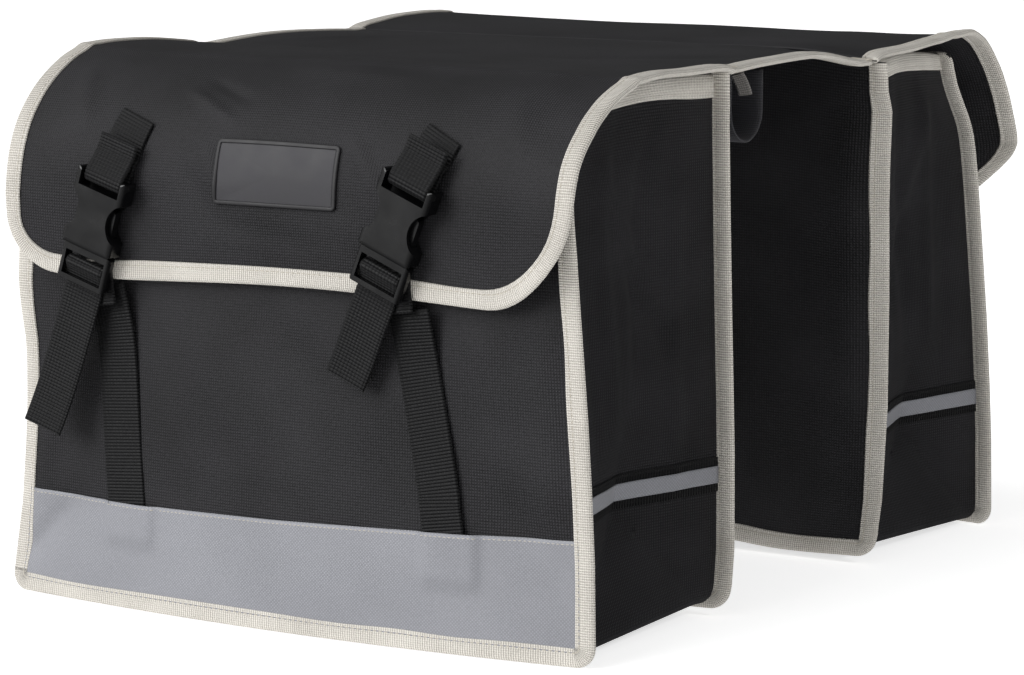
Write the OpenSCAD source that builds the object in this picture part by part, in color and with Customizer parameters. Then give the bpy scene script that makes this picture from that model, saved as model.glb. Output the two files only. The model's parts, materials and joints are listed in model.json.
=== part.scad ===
// Double pannier bag: two upright bags joined by a saddle panel that lies over a
// bicycle's rear rack. +X points to the bicycle's rear, +Z up, the left bag lies at -Y.
// The origin is on the floor, midway between the bags.

/* [Bags] */
// Length of each bag along the bicycle
bag_w = 350; // [300:1:400]
// Height of the inner panel, from the floor to the saddle
bag_h = 284; // [270:1:300]
// Depth of each bag at the floor
bag_d = 146; // [130:1:170]
// How far the outer panel leans in at the top
top_lean = 25; // [10:1:35]
// Clear width between the two inner panels
saddle_w = 160; // [140:1:180]
// Radius of the bottom corners of the panels
corner_r = 15; // [12:1:25]

/* [Cloth and tape] */
// Thickness of the doubled polyester cloth
cloth_t = 2; // [1.2:0.2:2.4]
// Width of the ribbed binding tape
tape_w = 11; // [8:1:14]
// Thickness of the tape folded over a seam
tape_t = 4; // [3.2:0.2:5]
// How far the seams stand out from the gusset
seam_out = 9; // [7:1:10]
// Height of the reflective band on the outer panel
band_h = 56; // [40:1:70]
// Height of the middle of the reflective strips on the gusset
strip_z = 76; // [70:1:110]

/* [Flaps] */
// Length of each flap along the bicycle
flap_w = 354; // [350:1:366]
// Height of the flap's hem above the floor
hem_z = 177; // [170:1:182]
// Radius of the fold over the bag's top outer edge
flap_r = 40; // [30:1:42]
// Radius of the hem's two corners
hem_r = 40; // [20:1:55]
// Length and height of the blank label patch
patch_size = [76, 33]; // [20:1:80]

/* [Buckles and webbing] */
// Width of the webbing
web_w = 25; // [20:1:25]
// Thickness of the webbing
web_t = 1.5; // [1.2:0.1:1.6]
// Distance of each flap strap's sewn end from the middle of the bag
strap_x = 96; // [70:1:105]
// Height of the flap straps' sewn ends
strap_top_z = 265; // [262:1:268]
// Heights of the front and rear sockets' cross bars
bar_z = [228, 236]; // [226:1:240]
// Slant of the front and rear buckles, in degrees
slant = [17, 22]; // [0:1:24]
// Slant of the front and rear sewn base straps, in degrees
base_slant = [6, 10]; // [0:1:12]
// Lengths of the front and rear webbing tails
tail_len = [80, 50]; // [30:1:85]

/* [Rack loops] */
// Inside radius of the loops that go round the rack's rail
loop_r = 13.5; // [8:0.5:16]
// Width of the loops
loop_w = 40; // [25:1:50]
// Distance of the loops' middle from the centre plane
loop_y = 52; // [40:1:56]

/* [Hidden] */
$fn = 64;

// Colours
cloth_c = "#2b2b2e";
tape_c = "#d8d5cf";
web_c = "#1d1d1f";
plastic_c = "#161617";
grey_c = "#9a9da6";
patch_c = "#535257";
board_c = "#8a6f4d";

// Bag frame: x along the bicycle, y outward from the centre plane, z up
in_y = saddle_w / 2;                    // face of the inner panel towards the wheel
out_y = in_y + bag_d - tape_t;          // foot of the outer panel
lean = atan(top_lean / bag_h);          // the outer panel's lean
side_x = bag_w / 2 - seam_out;          // outer face of the gusset's ends
rim_z = bag_h - 14;                     // top edge of the gusset's cloth
bottom_z = 6;                           // underside of the gusset
hole_r = max(corner_r - tape_w, 0.5);   // inner corners of the bindings
saddle_z = bag_h + 0.5;                 // underside of the saddle panel
saddle_t = 2.2;
flap_z = bag_h + 7;                     // upper face of the flap
flap_t = 2.4;
flap_y = in_y + bag_d + 8;              // outer face of the flap's front
fold_y = flap_y - flap_r;               // axis of the flap's fold
fold_z = flap_z - flap_r;
hinge_y = in_y + 0.5;                   // the flap's hinge line
hinge_z = bag_h + 4;

// Buckle frame: origin on the flap's front under the socket's cross bar, y outward
buckle_w = 33;
buckle_t = 10.5;
buckle_y = 6.25;                        // mid-thickness of the buckle
socket_len = 38;
plug_len = 57.7;
frame_t = 6;
ladder_z = -48;                         // the plug's ladder bar
ladder_y = 5.6;
bar_r = 1.7;
mouth_w = 26;
arm_pivot = [11.3, -38.1];
tail_pivot = [3.75, -58.8];

// Plate of thickness t standing on the XZ plane from a flat outline, growing towards +Y
module upright(t) translate([0, t, 0]) rotate([90, 0, 0]) linear_extrude(t) children();

// Bar along X from an outline drawn in (y, z), centred on x = 0
module along_x(w) translate([-w / 2, 0, 0]) rotate([90, 0, 90]) linear_extrude(w) children();

// Outline w wide and h high, standing on y = 0, with two round bottom corners
module tongue(w, h, r) {
  translate([-w / 2, r]) square([w, h - r]);
  translate([r - w / 2, 0]) square([w - 2 * r, r]);
  for (s = [-1, 1]) translate([s * (w / 2 - r), r]) circle(r);
}

// Rectangle w by h about the origin with four round corners
module rounded(w, h, r) {
  square([w - 2 * r, h], center = true);
  square([w, h - 2 * r], center = true);
  for (sx = [-1, 1], sy = [-1, 1]) translate([sx * (w / 2 - r), sy * (h / 2 - r)]) circle(r);
}

// The right bag is built at +Y, the left one is its mirror image
module left() mirror([0, 1, 0]) children();
module right() children();

// The outer panel's own frame: y outward through the cloth, z up along the panel
module on_outer() translate([0, out_y, 0]) rotate([lean, 0, 0]) children();

module inner_panel() color(cloth_c)
  translate([0, in_y + (tape_t - cloth_t) / 2, 0])
    upright(cloth_t) translate([0, 1.5]) tongue(bag_w - 3, bag_h - 1.5, corner_r - 1.5);

module inner_binding() color(tape_c) difference() {
  translate([0, in_y, 0]) upright(tape_t) tongue(bag_w, bag_h, corner_r);
  translate([0, in_y - 1, 0]) upright(tape_t + 2)
    translate([0, tape_w]) tongue(bag_w - 2 * tape_w, bag_h, hole_r);
  inner_panel();
}

module inner_board() color(board_c)
  translate([0, in_y + tape_t + 0.6, 0]) upright(2)
    translate([0, (bottom_z + rim_z) / 2]) rounded(bag_w - 60, rim_z - bottom_z - 24, 12);

module outer_panel() color(cloth_c)
  on_outer() translate([0, (tape_t - cloth_t) / 2, 0])
    upright(cloth_t) translate([0, 1.5]) tongue(bag_w - 3, bag_h - 3, corner_r - 1.5);

module outer_binding() color(tape_c) difference() {
  on_outer() upright(tape_t) tongue(bag_w, bag_h, corner_r);
  on_outer() translate([0, -1, tape_w]) upright(tape_t + 2)
    tongue(bag_w - 2 * tape_w, bag_h - 2 * tape_w, hole_r);
  outer_panel();
}

// Section of the space between the panels, from height z0 to z1
module bag_section(z0, z1) {
  front = out_y - z0 * tan(lean);
  back = out_y - z1 * tan(lean);
  polygon([[in_y + tape_t, z0], [front, z0], [back, z1], [in_y + tape_t, z1]]);
}

// One strip of cloth forms both ends and the bottom
module gusset() color(cloth_c) difference() {
  along_x(2 * side_x) bag_section(bottom_z, rim_z);
  along_x(2 * (side_x - cloth_t)) translate([in_y, bottom_z + cloth_t]) square([2 * bag_d, bag_h]);
}

module rim_bindings() color(tape_c) for (s = [-1, 1])
  translate([s * (side_x - cloth_t / 2), 0, 0]) along_x(tape_t) bag_section(rim_z, rim_z + tape_w);

module reflective_band() color(grey_c)
  on_outer() translate([0, (tape_t + cloth_t) / 2, 0]) upright(0.8)
    translate([0, tape_w]) tongue(bag_w - 2 * tape_w, band_h - tape_w, hole_r);

module side_strips() color(grey_c) for (s = [-1, 1])
  translate([s * (side_x + 0.4), 0, 0]) along_x(0.8) bag_section(strip_z - 9, strip_z + 9);

// Webbing that starts at the band's edge, follows the panel and then lifts off it to the flap's hem
module base_strap(k) {
  foot_x = (k == 0 ? -1 : 1) * (strap_x + 4);
  face = (tape_t + cloth_t) / 2 + 0.05;
  foot = web_w / 2 * sin(base_slant[k]) + 0.5;
  lift = 95 - band_h;
  end_y = (flap_y - 0.6 - web_t - out_y) * cos(lean) + (hem_z - 6) * sin(lean);
  end_z = (hem_z - 6) * cos(lean) - band_h;
  color(web_c) on_outer() translate([foot_x, 0, band_h]) rotate([0, -base_slant[k], 0])
    along_x(web_w) polygon([
      [face, foot],
      [face + web_t, foot],
      [face + web_t, lift],
      [end_y + web_t, end_z],
      [end_y, end_z],
      [face, lift]]);
}

// Bent sheet of the flap: over the bag, round the fold and down to the hem
module flap_sheet(above, below) {
  t = above + below;
  translate([-flap_w / 2, hinge_y, flap_z - below]) cube([flap_w, fold_y - hinge_y, t]);
  translate([flap_w / 2, fold_y, fold_z]) rotate([0, -90, 0]) rotate_extrude(angle = 90)
    translate([flap_r - below, 0]) square([t, flap_w]);
  translate([-flap_w / 2, flap_y - below, hem_z]) cube([flap_w, t, fold_z - hem_z]);
}

module flap_outline(inset) translate([0, hinge_y - 1, hem_z + inset]) upright(2 * bag_d)
  tongue(flap_w - 2 * inset, bag_h, hem_r - inset);

module flap() color(cloth_c) intersection() {
  flap_sheet(0, flap_t);
  flap_outline(0.8);
}

module flap_binding() color(tape_c) difference() {
  intersection() {
    flap_sheet(0.8, flap_t + 0.8);
    flap_outline(0);
  }
  flap_outline(tape_w);
  flap();
}

module label_patch() color(patch_c)
  translate([0, flap_y + 0.05, fold_z - patch_size.y / 2]) upright(1.4)
    rounded(patch_size.x, patch_size.y, 2.5);

// Places a buckle: k = 0 is the front one, k = 1 the rear one
function bar_x(k) = (k == 0 ? -1 : 1) * strap_x - (strap_top_z - bar_z[k]) * tan(slant[k]);
module at_buckle(k) translate([bar_x(k), flap_y, bar_z[k]]) rotate([0, slant[k], 0]) children();

// Webbing sewn to the flap, folded round the socket's cross bar
module flap_strap(k) {
  length = (strap_top_z - bar_z[k]) / cos(slant[k]);
  color(web_c) at_buckle(k) along_x(web_w) {
    translate([0.3, 12]) square([web_t, length - 12]);
    polygon([[0.3, 12], [2.65, 0], [4.15, 0], [0.3 + web_t, 12.5]]);
    polygon([[8.35, 0], [9.85, 0], [3.4, 15], [1.9, 15]]);
    translate([1.9, 15]) square([web_t, 7]);
    translate([buckle_y, 0]) difference() {
      circle(bar_r + 0.4 + web_t);
      circle(bar_r + 0.4);
      translate([-5, 0]) square([10, 5]);
    }
  }
}

module socket_outline() difference() {
  union() {
    translate([0, -socket_len]) tongue(buckle_w, socket_len + 2.8, 2.5);
    for (s = [-1, 1]) translate([s * (buckle_w / 2 - 1.2), 1.5]) circle(2.2);
  }
  for (s = [-1, 1]) translate([s * 21.5, -19]) circle(12);
  translate([-13.2, -5.5]) square([26.4, 20]);
}

module socket(k) color(plastic_c) at_buckle(k) {
  difference() {
    intersection() {
      translate([0, buckle_y - buckle_t / 2, 0]) upright(buckle_t) socket_outline();
      along_x(2 * buckle_w) translate([buckle_y, -socket_len / 2 + 2]) rounded(buckle_t, socket_len + 6, 3.2);
      translate([0, buckle_y, -2 * socket_len]) linear_extrude(3 * socket_len)
        rounded(buckle_w + 2, buckle_t, 4);
    }
    translate([-mouth_w / 2, buckle_y - 2.9, -socket_len - 1]) cube([mouth_w, 5.8, socket_len - 8]);
  }
  translate([-14.5, buckle_y, 0]) rotate([0, 90, 0]) cylinder(r = bar_r, h = 29);
}

module plug(k) color(plastic_c) at_buckle(k) {
  difference() {
    intersection() {
      translate([0, buckle_y - frame_t / 2, 0]) upright(frame_t)
        translate([0, -(plug_len + socket_len + 0.4) / 2]) rounded(32, plug_len - socket_len - 0.4, 2);
      translate([0, buckle_y, -2 * plug_len]) linear_extrude(2 * plug_len) rounded(32, frame_t, 2.2);
    }
    translate([-13, 0, -plug_len + 2.6]) cube([26, 20, 13.2]);
    translate([-13, 0, -plug_len - 1]) cube([26, 5.6, 5]);
  }
  translate([-14, ladder_y, ladder_z]) rotate([0, 90, 0]) cylinder(r = bar_r, h = 28);
  translate([-2.4, buckle_y - 1.8, -40]) cube([4.8, 3.6, 24]);
  translate([0, buckle_y - 1.8, -16]) rotate([-90, 0, 0]) cylinder(r = 2.4, h = 3.6);
}

// Sprung arm of the plug, s = -1 or 1 for its side
module arm(k, s) color(plastic_c) at_buckle(k)
  translate([0, buckle_y - 2.4, 0]) upright(4.8) {
    translate([s * arm_pivot.x - 1.3, arm_pivot.y]) square([2.6, 14]);
    translate([s * 10.7 - 1.9, -28]) square([3.8, 13]);
    translate([s * 10.7, -15]) circle(1.9);
    translate([s * 10.7, -28]) circle(1.9);
  }

// Webbing round the plug's ladder bar, with the leg that goes down in front of the hem
module strap_loop(k) color(web_c) at_buckle(k) {
  along_x(web_w) {
    translate([ladder_y, ladder_z]) difference() {
      circle(bar_r + 0.1 + web_t);
      circle(bar_r + 0.1);
    }
    polygon([[3.1, tail_pivot.y + 0.9], [4.6, tail_pivot.y + 0.9], [6.2, ladder_z - 2.2], [4.6, ladder_z - 2.2]]);
  }
  translate([0, 0, ladder_z]) rotate([0, -slant[k] - 10, 0]) translate([0, 0, -ladder_z])
    along_x(web_w) translate([1.3, ladder_z - 21]) square([web_t, 23]);
}

module tail(k) color(web_c) at_buckle(k) along_x(web_w) {
  translate([tail_pivot.x - web_t / 2, tail_pivot.y - tail_len[k]]) square([web_t, tail_len[k]]);
  translate(tail_pivot) circle(web_t / 2);
}

module bridge_panel() color(cloth_c)
  translate([0, 0, saddle_z + saddle_t / 2]) cube([bag_w - 3, 2 * in_y - 2, saddle_t], center = true);

module bridge_bindings() color(tape_c) difference() {
  for (s = [-1, 1]) translate([s * (bag_w / 2 - tape_w / 2), 0, saddle_z + saddle_t / 2])
    cube([tape_w, 2 * in_y - 8, saddle_t + 1.6], center = true);
  bridge_panel();
}

// Loops of doubled webbing under the saddle for the rack's left rail
module rack_loops() color(web_c) for (s = [-1, 1])
  translate([s * (bag_w / 2 - 10 - loop_w / 2), -loop_y, 0]) along_x(loop_w) difference() {
    union() {
      translate([0, saddle_z - 21]) circle(loop_r + web_t);
      translate([-loop_r - web_t, saddle_z - 21]) square([2 * (loop_r + web_t), 20.2]);
    }
    translate([0, saddle_z - 21]) circle(loop_r);
    translate([-loop_r, saddle_z - 21]) square([2 * loop_r, 30]);
  }

bridge_panel();
bridge_bindings();
rack_loops();
left() inner_panel();  // left_inner_panel
left() inner_binding();  // left_inner_binding
left() inner_board();  // left_inner_board
left() outer_panel();  // left_outer_panel
left() outer_binding();  // left_outer_binding
left() gusset();  // left_gusset
left() rim_bindings();  // left_rim_bindings
left() reflective_band();  // left_reflective_band
left() side_strips();  // left_side_strips
left() base_strap(0);  // left_front_base_strap
left() base_strap(1);  // left_rear_base_strap
left() flap();  // left_flap
left() flap_binding();  // left_flap_binding
left() label_patch();  // left_label_patch
left() flap_strap(0);  // left_front_flap_strap
left() flap_strap(1);  // left_rear_flap_strap
left() socket(0);  // left_front_socket
left() plug(0);  // left_front_plug
left() arm(0, -1);  // left_front_arm_a
left() arm(0, 1);  // left_front_arm_b
left() strap_loop(0);  // left_front_strap_loop
left() tail(0);  // left_front_tail
left() socket(1);  // left_rear_socket
left() plug(1);  // left_rear_plug
left() arm(1, -1);  // left_rear_arm_a
left() arm(1, 1);  // left_rear_arm_b
left() strap_loop(1);  // left_rear_strap_loop
left() tail(1);  // left_rear_tail
right() inner_panel();  // right_inner_panel
right() inner_binding();  // right_inner_binding
right() inner_board();  // right_inner_board
right() outer_panel();  // right_outer_panel
right() outer_binding();  // right_outer_binding
right() gusset();  // right_gusset
right() rim_bindings();  // right_rim_bindings
right() reflective_band();  // right_reflective_band
right() side_strips();  // right_side_strips
right() base_strap(0);  // right_front_base_strap
right() base_strap(1);  // right_rear_base_strap
right() flap();  // right_flap
right() flap_binding();  // right_flap_binding
right() label_patch();  // right_label_patch
right() flap_strap(0);  // right_front_flap_strap
right() flap_strap(1);  // right_rear_flap_strap
right() socket(0);  // right_front_socket
right() plug(0);  // right_front_plug
right() arm(0, -1);  // right_front_arm_a
right() arm(0, 1);  // right_front_arm_b
right() strap_loop(0);  // right_front_strap_loop
right() tail(0);  // right_front_tail
right() socket(1);  // right_rear_socket
right() plug(1);  // right_rear_plug
right() arm(1, -1);  // right_rear_arm_a
right() arm(1, 1);  // right_rear_arm_b
right() strap_loop(1);  // right_rear_strap_loop
right() tail(1);  // right_rear_tail
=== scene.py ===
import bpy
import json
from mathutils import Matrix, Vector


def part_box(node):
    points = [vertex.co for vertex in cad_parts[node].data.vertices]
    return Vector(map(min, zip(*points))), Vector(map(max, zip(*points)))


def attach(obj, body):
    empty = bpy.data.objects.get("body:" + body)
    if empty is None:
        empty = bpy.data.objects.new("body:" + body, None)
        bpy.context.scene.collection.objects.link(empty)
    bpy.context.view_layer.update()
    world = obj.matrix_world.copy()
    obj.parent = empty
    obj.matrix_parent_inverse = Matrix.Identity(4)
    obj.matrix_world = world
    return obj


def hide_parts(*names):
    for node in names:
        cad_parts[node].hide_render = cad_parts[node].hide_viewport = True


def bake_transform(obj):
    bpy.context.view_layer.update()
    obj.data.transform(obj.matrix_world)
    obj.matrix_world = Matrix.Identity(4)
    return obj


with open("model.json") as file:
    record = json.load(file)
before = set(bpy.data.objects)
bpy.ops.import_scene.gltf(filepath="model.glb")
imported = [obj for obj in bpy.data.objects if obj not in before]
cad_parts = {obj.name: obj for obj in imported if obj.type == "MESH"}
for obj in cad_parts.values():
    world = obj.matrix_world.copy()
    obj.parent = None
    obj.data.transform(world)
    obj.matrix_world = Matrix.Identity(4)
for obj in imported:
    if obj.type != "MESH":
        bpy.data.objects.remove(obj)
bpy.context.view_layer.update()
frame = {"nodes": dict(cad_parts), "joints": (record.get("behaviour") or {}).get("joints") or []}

import json
import math

import bpy
import numpy as np

print("frame loaded:", len(frame["nodes"]), "nodes")

# Everything below is made for the left bag, which hangs at -Y, and mirrored for the right one.
# x runs along the bicycle, "out" is the distance from its middle plane, z is up.

# low and high corners of the frame's own pieces
innerLow, innerHigh = np.array(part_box("right_inner_binding"))
gussetHigh = np.array(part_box("right_gusset")[1])
flapHigh = np.array(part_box("right_flap")[1])
rimHigh = np.array(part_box("right_rim_bindings")[1])
saddleLow, saddleHigh = np.array(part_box("bridge_panel"))
stripLow, stripHigh = np.array(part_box("right_side_strips"))
loopLow, loopHigh = np.array(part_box("rack_loops"))
joints = {joint["name"]: joint for joint in frame["joints"]}

halfWidth = innerHigh[0]
panelHeight = innerHigh[2]


def linearColour(hexText):
    # sRGB hex to the linear values that shaders use
    srgb = np.array([int(hexText[i:i + 2], 16) for i in (1, 3, 5)]) / 255
    linear = np.where(srgb <= 0.04045, srgb / 12.92, ((srgb + 0.055) / 1.055) ** 2.4)
    return (*[float(v) for v in linear], 1.0)


def smoothStep(low, high, value):
    t = np.clip((value - low) / (high - low), 0, 1)
    return t * t * (3 - 2 * t)


def unit(vectors):
    return vectors / np.maximum(np.linalg.norm(vectors, axis=-1, keepdims=True), 1e-12)


def pathLengths(points):
    return np.concatenate([[0], np.cumsum(np.linalg.norm(np.diff(points, axis=0), axis=1))])


def evenly(path, spacing, closed=False):
    # the same path with points spacing apart
    if closed:
        path = np.concatenate([path, path[:1]])
    length = pathLengths(path)
    at = np.linspace(0, length[-1], max(2, int(round(length[-1] / spacing)) + 1))
    even = np.stack([np.interp(at, length, path[:, i]) for i in range(path.shape[1])], -1)
    return even[:-1] if closed else even


def table(at, pairs):
    # a value looked up in pairs of (place, value) in millimetres, with straight steps between them
    places, values = np.array(pairs, float).T / 1000
    return np.interp(at, places, values)


def roundedPath(points, spacing):
    # a smooth curve through a few points: Catmull-Rom, then made even
    p = np.array(points, float)
    p = np.concatenate([[2 * p[0] - p[1]], p, [2 * p[-1] - p[-2]]])
    t = np.linspace(0, 1, 12, endpoint=False)[:, None, None]
    a, b, c, d = p[:-3], p[1:-2], p[2:-1], p[3:]
    curve = 0.5 * (2 * b + (c - a) * t + (2 * a - 5 * b + 4 * c - d) * t**2
                   + (3 * b - a - 3 * c + d) * t**3)
    curve = np.concatenate([curve.transpose(1, 0, 2).reshape(-1, p.shape[1]), p[-2:-1]])
    return evenly(curve, spacing)


def ripples(a, b, size, seed):
    # gentle unevenness: seven slanted waves with lengths near size, the same every run
    rng = np.random.default_rng(seed)
    total = 0
    for angle, phase, length in rng.uniform([0, 0, 0.7], [np.pi, 2 * np.pi, 1.8], (7, 3)):
        across = a * np.cos(angle) + b * np.sin(angle)
        total = total + np.sin(across * 2 * np.pi / (size * length) + phase)
    return total / 7


def folds(a, b, lines):
    # soft folds: a ridge or a valley along each line, rounded across and fading towards its ends;
    # each line is x0, y0, x1, y1, half-width and height in millimetres
    total = 0
    for x0, y0, x1, y1, breadth, height in np.array(lines) / 1000:
        dx, dy = x1 - x0, y1 - y0
        length = math.hypot(dx, dy)
        along = ((a - x0) * dx + (b - y0) * dy) / length**2
        off = ((b - y0) * dx - (a - x0) * dy) / length
        fade = smoothStep(-0.15, 0.3, along) * (1 - smoothStep(0.7, 1.15, along))
        total = total + height * np.exp(-(off / breadth) ** 2) * fade
    return total


def gridQuads(rows, columns, wrapRows=False, wrapColumns=False, first=0):
    # the quads of a rows x columns grid of points
    r = np.arange(rows if wrapRows else rows - 1)
    c = np.arange(columns if wrapColumns else columns - 1)
    r0, c0 = np.meshgrid(r, c, indexing="ij")
    r1, c1 = (r0 + 1) % rows, (c0 + 1) % columns
    quads = np.stack([r0 * columns + c0, r1 * columns + c0, r1 * columns + c1, r0 * columns + c1], -1)
    return quads.reshape(-1, 4) + first


def joined(*shapes):
    # several shapes (points, quads, uv) as one
    points = [np.reshape(s[0], (-1, 3)) for s in shapes]
    first = np.concatenate([[0], np.cumsum([len(p) for p in points])])
    quads = np.concatenate([s[1] + f for s, f in zip(shapes, first)])
    return np.concatenate(points), quads, np.concatenate([np.reshape(s[2], (-1, 2)) for s in shapes])


def makePiece(name, shape, material, body, mirrored=False):
    # a mesh object that rides on a body; mirrored makes the right bag's copy of a left one
    points, quads, uv = shape
    points = np.array(points, float).reshape(-1, 3)
    if mirrored:
        points = points * [1, -1, 1]
        quads = quads[:, ::-1]
    mesh = bpy.data.meshes.new(name)
    mesh.vertices.add(len(points))
    mesh.vertices.foreach_set("co", points.astype(np.float32).ravel())
    mesh.loops.add(quads.size)
    mesh.loops.foreach_set("vertex_index", quads.astype(np.int32).ravel())
    mesh.polygons.add(len(quads))
    mesh.polygons.foreach_set("loop_start", np.arange(0, quads.size, 4, dtype=np.int32))
    mesh.update(calc_edges=True)
    layer = mesh.uv_layers.new(name="weave")
    layer.data.foreach_set("uv", np.reshape(uv, (-1, 2))[quads.ravel()].astype(np.float32).ravel())
    mesh.polygons.foreach_set("use_smooth", np.ones(len(quads), bool))
    mesh.materials.append(material)
    piece = bpy.data.objects.new(name, mesh)
    bpy.context.collection.objects.link(piece)
    if body:
        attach(piece, body)
    return piece


def clothShape(surface, a, b, thickness):
    # a closed sheet on a surface: an upper layer, a lower one half a thickness off, and the rim between them
    points = surface(a, b)
    rows, columns = points.shape[:2]
    normals = unit(np.cross(np.gradient(points, axis=0), np.gradient(points, axis=1)))
    count = rows * columns
    c, r = np.arange(columns), np.arange(rows)
    ring = np.concatenate([c, r[1:-1] * columns + columns - 1, (rows - 1) * columns + c[::-1],
                           r[-2:0:-1] * columns])
    following = np.roll(ring, -1)
    rim = np.stack([ring, following, following + count, ring + count], -1)
    under = gridQuads(rows, columns, first=count)[:, ::-1]
    quads = np.concatenate([gridQuads(rows, columns), under, rim])
    uv = np.stack([a, b], -1).reshape(-1, 2)
    both = [(points + side * normals * thickness / 2).reshape(-1, 3) for side in (1, -1)]
    return np.concatenate(both), quads, np.concatenate([uv, uv])


def surfaceNormal(surface, a, b):
    # which way a surface faces: the cross product of small steps in its two lengths
    step = 2e-4
    alongA = surface(a + step, b) - surface(a - step, b)
    return unit(np.cross(alongA, surface(a, b + step) - surface(a, b - step)))


def liftedOn(surface, a, b, height):
    # points held above a surface, along its normal
    return surface(a, b) + surfaceNormal(surface, a, b) * np.asarray(height)[..., None]


def leftOf(path, closed=False):
    # unit vectors to the left of a flat path
    step = np.roll(path, -1, 0) - np.roll(path, 1, 0) if closed else np.gradient(path, axis=0)
    step = unit(step)
    return np.stack([-step[:, 1], step[:, 0]], -1)


def tongueEdge(half, low, high, radius, topRadius=0.0):
    # outline from the top left down, along the bottom and up to the top right, with quarter circles at the
    # lower corners (one radius, or left and right); with a top radius it is a closed ring
    turn = np.linspace(0, np.pi / 2, 15)
    corners = []
    for size, way in zip(np.broadcast_to(radius, 2), (1, -1)):
        corner = np.stack([-half + size - size * np.cos(turn), low + size - size * np.sin(turn)], -1)
        corners.append(corner if way > 0 else corner[::-1] * [-1, 1])
    if topRadius:
        right = [half, high] + topRadius * (np.stack([np.cos(turn), np.sin(turn)], -1) - 1)
        return np.concatenate(corners + [right, right[::-1] * [-1, 1]])
    return np.concatenate([[[-half, high]]] + corners + [[[half, high]]])


def tongueGrid(half, low, high, radius, rows, columns):
    # grid that fills the same outline: rows go up, each from the outline's left side to its right one
    left, right = np.broadcast_to(radius, 2)
    tall = max(left, right)
    foot = low + tall * (1 - np.cos(np.linspace(0, np.pi / 2, 17)))
    b = np.concatenate([foot, np.linspace(low + tall, high, rows)[1:]])
    reach = [size - np.clip(size - (b - low), 0, size) for size in (left, right)]
    sides = [half - size + np.sqrt(np.maximum(size**2 - (size - r)**2, 0))
             for size, r in zip((left, right), reach)]
    share = np.linspace(0, 1, columns)[:, None]
    a = -sides[0] * (1 - share) + sides[1] * share
    return a, np.broadcast_to(b, a.shape)


tape = {
    "width": 0.0098,      # on each face, folded from a tape of 20 mm
    "half": 0.0019,       # half of the edge's thickness with the tape on
    "row": 0.0016,        # spacing of the rows of points along it
    "pitch": 0.0032,      # of the stitches
    "pucker": 0.00022,    # how far the stitches draw it in
    "seam": 0.0024,       # how far the stitches run from the tape's inner edge
    "proud": 0.00165,     # how high they stand over the cloth's middle
    "inset": 0.0004,      # how far the outline lies inside the panel's edge
}


def bindingShape(surface, path, closed=False):
    # tape folded over an edge: a section of flat faces joined by a round fold, carried along a path
    path = evenly(path, tape["row"], closed)
    inward = leftOf(path, closed)
    w, h = tape["width"], tape["half"]
    seam = w - tape["seam"]
    reach = np.array([w - 0.0004, w, w - 0.0004, w - 0.0016, seam, seam - 0.001, w / 2, 0.0022, 0.0009, 0,
                      -0.0004])
    rise = np.array([0.3, 0.62, 0.93, 0.95, 0.78, 0.97, 1.03, 1.0, 0.86, 0.52, 0.16]) * h
    reach, rise = np.concatenate([reach, reach[::-1]]), np.concatenate([rise, -rise[::-1]])
    length = np.arange(len(path)) * tape["row"]
    pull = np.sin(2 * np.pi * length / tape["pitch"])[:, None]
    pull = pull * np.exp(-((np.abs(reach) - w + tape["seam"]) / 0.0022) ** 2)
    wander = np.sin(length / 0.017 + 1.7 * np.sin(length / 0.041))[:, None] * smoothStep(0.6 * w, w, reach)
    inset = reach + 0.0004 * wander
    a = path[:, :1] + inward[:, :1] * inset
    b = path[:, 1:] + inward[:, 1:] * inset
    points = liftedOn(surface, a, b, rise + tape["pucker"] * pull * np.sign(rise))
    quads = gridQuads(len(path), len(reach), wrapRows=closed, wrapColumns=True)
    if not closed:
        quads = np.concatenate([quads, tubeEnds(len(path), len(reach))])
    around = pathLengths(np.stack([reach, rise], -1))
    return points, quads[:, ::-1], np.stack(np.meshgrid(length, around, indexing="ij"), -1)


def tubeEnds(rows, columns):
    # quads across the first and the last ring of a tube
    k = np.arange((columns - 1) // 2)
    first = np.stack([k, k + 1, columns - 2 - k, columns - 1 - k], -1)
    return np.concatenate([first, first[:, ::-1] + (rows - 1) * columns])


def stitchShape(surface, path, closed=False, inset=0.0, height=0.0, pitch=tape["pitch"], length=0.0024,
                radius=0.0003):
    # a row of stitches: a short bead each, along a path on a surface
    path = evenly(path, pitch, closed)
    inward = leftOf(path, closed)
    at = path + inward * inset
    normal = surfaceNormal(surface, at[:, 0], at[:, 1])
    step = np.stack([inward[:, 1], -inward[:, 0]], -1) * 2e-4
    here = surface(at[:, 0], at[:, 1])
    tangent = unit(surface(at[:, 0] + step[:, 0], at[:, 1] + step[:, 1]) - here)
    return beadShape(here + normal * height, tangent, normal, length, radius)


def beadShape(centre, tangent, normal, length, radius):
    # stretched beads: rings of six points at five stations along each tangent, their ends sunk into the cloth
    station = np.array([-1.0, -0.8, 0.0, 0.8, 1.0])
    swell = np.array([0.3, 0.85, 1.0, 0.85, 0.3]) * radius
    turn = np.arange(6) * np.pi / 3
    sideways = unit(np.cross(normal, tangent))[:, None, None]
    upward = normal[:, None, None]
    ring = np.cos(turn)[:, None] * sideways + 0.7 * np.sin(turn)[:, None] * upward
    spine = (station * length / 2)[:, None, None] * tangent[:, None, None]
    sink = (station**4 * radius)[:, None, None] * upward
    points = centre[:, None, None] + spine + ring * swell[:, None, None] - sink
    caps = [[0, 1, 2, 3], [0, 3, 4, 5], [27, 26, 25, 24], [29, 28, 27, 24]]
    one = np.concatenate([gridQuads(5, 6, wrapColumns=True), caps])[:, ::-1]
    quads = (one + 30 * np.arange(len(centre))[:, None, None]).reshape(-1, 4)
    return points, quads, np.zeros((len(centre) * 30, 2))


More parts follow.
